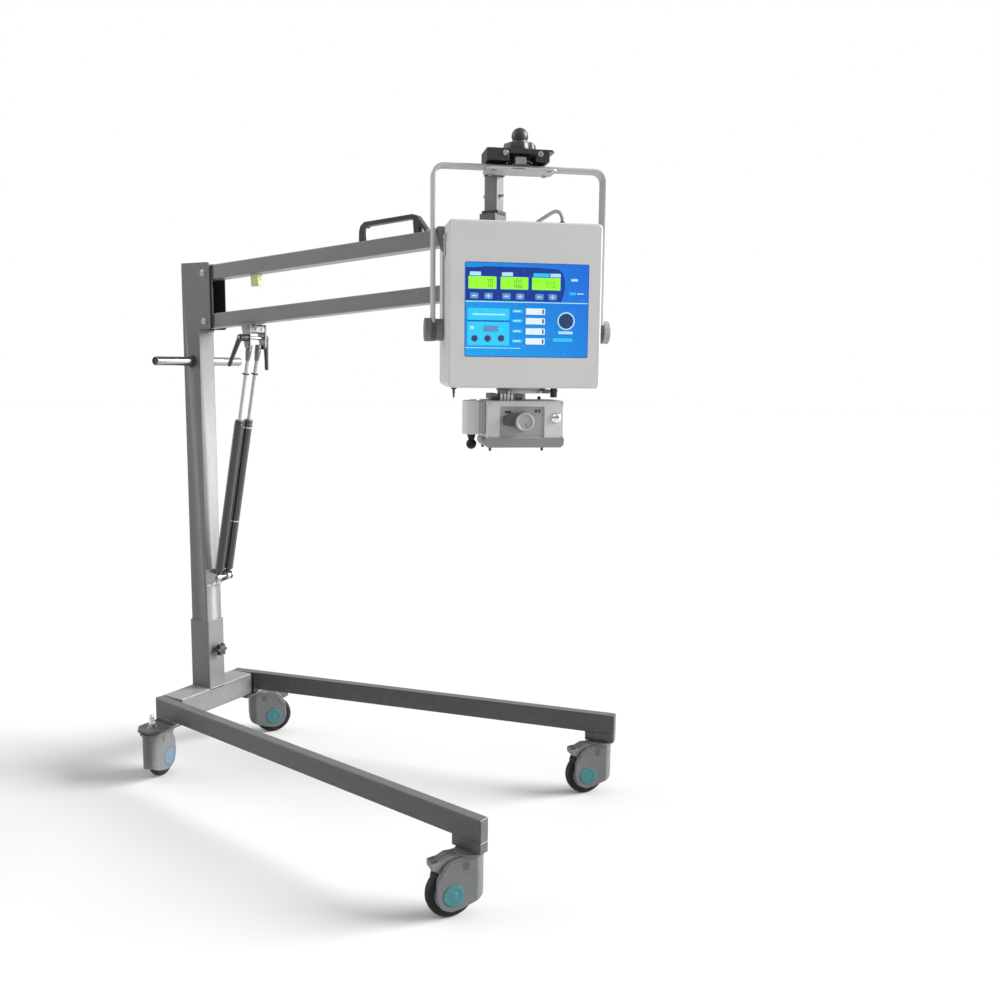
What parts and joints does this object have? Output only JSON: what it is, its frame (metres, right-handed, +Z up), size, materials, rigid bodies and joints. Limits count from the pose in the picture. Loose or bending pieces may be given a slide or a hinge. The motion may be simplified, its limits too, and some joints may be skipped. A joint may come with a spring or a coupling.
{
  "type": "portable x-ray machine",
  "caption": "Wheeled stand with a telescoping column, parallelogram arm on gas springs and a yoke-hung x-ray head with a control panel and collimator.",
  "frame": {"origin": "on the floor under the column's vertical axis, with all casters standing on the floor", "axes": "+X forward from the column to the leg tips, +Y to the left, +Z up"},
  "size_m": [1.4729, 0.9389, 1.8835],
  "materials": {
    "stand_paint": "satin grey powder coat",
    "head_paint": "fine textured light grey enamel",
    "black_paint": "black powder coat",
    "bright_metal": "brushed",
    "chrome": "polished",
    "black_plastic": "fine grain",
    "grey_plastic": "fine grain",
    "fork_paint": "fine grain",
    "tyre": "worn rubber",
    "panel_film": "printed membrane",
    "vial": "clear tinted",
    "cable": "satin",
    "block": "plain"
  },
  "bodies": {
    "base": {"cross_beam": "stand_paint", "leg_left": "stand_paint", "leg_right": "stand_paint", "rear_plate_left": "stand_paint", "rear_plate_right": "stand_paint", "stem_left": "bright_metal", "stem_right": "bright_metal", "column_socket": "stand_paint", "socket_knob": "black_plastic"},
    "column": {"column": "stand_paint", "arm_liner": "black_paint", "push_handle": "chrome", "handle_collars": "black_plastic", "column_bolts": "bright_metal", "spring_bracket": "bright_metal"},
    "upper_arm": {"upper_arm": "stand_paint", "carry_handle": "black_plastic", "level_vial": "vial"},
    "lower_arm": {"lower_arm": "stand_paint", "spring_clevis": "bright_metal", "clamp_lever_left": "black_plastic", "clamp_lever_right": "black_plastic"},
    "end_frame": {"end_bracket": "stand_paint", "end_post": "stand_paint", "post_collar": "black_plastic", "front_bolts": "bright_metal", "swivel_cap": "black_plastic"},
    "gas_springs": {"cylinder_left": "black_paint", "cylinder_right": "black_paint"},
    "spring_rods": {"rod_left": "chrome", "rod_right": "chrome"},
    "top_arm": {"top_bracket": "black_paint"},
    "bail": {"bail": "head_paint", "saddle_plate": "head_paint", "pan_stud": "chrome", "top_knob": "black_plastic"},
    "head": {"front_shell": "head_paint", "rear_shell": "head_paint", "tube_block": "block", "panel": "panel_film", "tilt_knob_left": "grey_plastic", "tilt_knob_right": "grey_plastic", "cable_gland": "black_plastic", "cable": "cable", "turntable": "head_paint"},
    "collimator": {"collimator": "head_paint", "beam_housing": "head_paint", "beam_lever": "black_plastic", "field_knob": "grey_plastic"},
    "caster_fl": {"fork_fl": "fork_paint"},
    "roller_fl": {"wheel_fl": "tyre"},
    "caster_fr": {"fork_fr": "fork_paint"},
    "roller_fr": {"wheel_fr": "tyre"},
    "caster_rl": {"fork_rl": "fork_paint"},
    "roller_rl": {"wheel_rl": "tyre"},
    "caster_rr": {"fork_rr": "fork_paint"},
    "roller_rr": {"wheel_rr": "tyre"}
  },
  "joints": [
    {"name": "column_slide", "type": "slide", "parent": "base", "child": "column", "axis": [0, 0, 1], "range_m": [-0.1, 0.08]},
    {"name": "arm_lift", "type": "hinge", "parent": "column", "child": "upper_arm", "pos_m": [0.057, 0, 1.584], "axis": [0, -1, 0], "range_deg": [-33, 14]},
    {"name": "lower_arm_lift", "type": "hinge", "parent": "column", "child": "lower_arm", "pos_m": [0.057, 0, 1.436], "axis": [0, -1, 0], "range_deg": [-33, 14]},
    {"name": "end_level", "type": "hinge", "parent": "upper_arm", "child": "end_frame", "pos_m": [1.01437, 0, 1.65498], "axis": [0, -1, 0], "range_deg": [-14, 33]},
    {"name": "spring_lean", "type": "hinge", "parent": "column", "child": "gas_springs", "pos_m": [0.077, 0, 0.622], "axis": [0, 1, 0], "range_deg": [-12, 12]},
    {"name": "spring_stroke", "type": "slide", "parent": "gas_springs", "child": "spring_rods", "axis": [0.2043, 0, 0.9789], "range_m": [-0.114, 0.05]},
    {"name": "top_swivel", "type": "hinge", "parent": "end_frame", "child": "top_arm", "pos_m": [1.07, 0, 1.811], "axis": [0, 0, 1], "range_deg": [-30, 110]},
    {"name": "head_pan", "type": "hinge", "parent": "top_arm", "child": "bail", "pos_m": [1.202, -0.11, 1.82], "axis": [0, 0, -1], "range_deg": [-35, 10]},
    {"name": "head_tilt", "type": "hinge", "parent": "bail", "child": "head", "pos_m": [1.202, -0.11, 1.394], "axis": [-0.7826, -0.6225, 0], "range_deg": [-65, 2]},
    {"name": "beam_turn", "type": "hinge", "parent": "head", "child": "collimator", "pos_m": [1.21061, -0.10315, 1.23], "axis": [0, 0, 1], "range_deg": [-45, 45]},
    {"name": "swivel_fl", "type": "hinge", "parent": "base", "child": "caster_fl", "pos_m": [1.24236, 0.40037, 0.145], "axis": [0, 0, 1], "continuous": true},
    {"name": "roll_fl", "type": "hinge", "parent": "caster_fl", "child": "roller_fl", "pos_m": [1.2089, 0.36321, 0.0625], "axis": [-0.7431, 0.6691, 0], "continuous": true},
    {"name": "swivel_fr", "type": "hinge", "parent": "base", "child": "caster_fr", "pos_m": [1.24236, -0.40037, 0.145], "axis": [0, 0, 1], "continuous": true},
    {"name": "roll_fr", "type": "hinge", "parent": "caster_fr", "child": "roller_fr", "pos_m": [1.21158, -0.43977, 0.0625], "axis": [-0.788, 0.6157, 0], "continuous": true},
    {"name": "swivel_rl", "type": "hinge", "parent": "base", "child": "caster_rl", "pos_m": [-0.005, 0.24, 0.145], "axis": [0, 0, 1], "continuous": true},
    {"name": "roll_rl", "type": "hinge", "parent": "caster_rl", "child": "roller_rl", "pos_m": [0.02714, 0.2783, 0.0625], "axis": [0.766, -0.6428, 0], "continuous": true},
    {"name": "swivel_rr", "type": "hinge", "parent": "base", "child": "caster_rr", "pos_m": [-0.005, -0.24, 0.145], "axis": [0, 0, 1], "continuous": true},
    {"name": "roll_rr", "type": "hinge", "parent": "caster_rr", "child": "roller_rr", "pos_m": [-0.02045, -0.19245, 0.0625], "axis": [0.9511, 0.309, 0], "continuous": true}
  ],
  "couplings": [
    {"joint": "lower_arm_lift", "follows": "arm_lift", "ratio": 1},
    {"joint": "end_level", "follows": "arm_lift", "ratio": -1},
    {"joint": "spring_lean", "follows": "arm_lift", "ratio": 0.065},
    {"joint": "spring_stroke", "follows": "arm_lift", "m_per_rad": 0.1745}
  ]
}
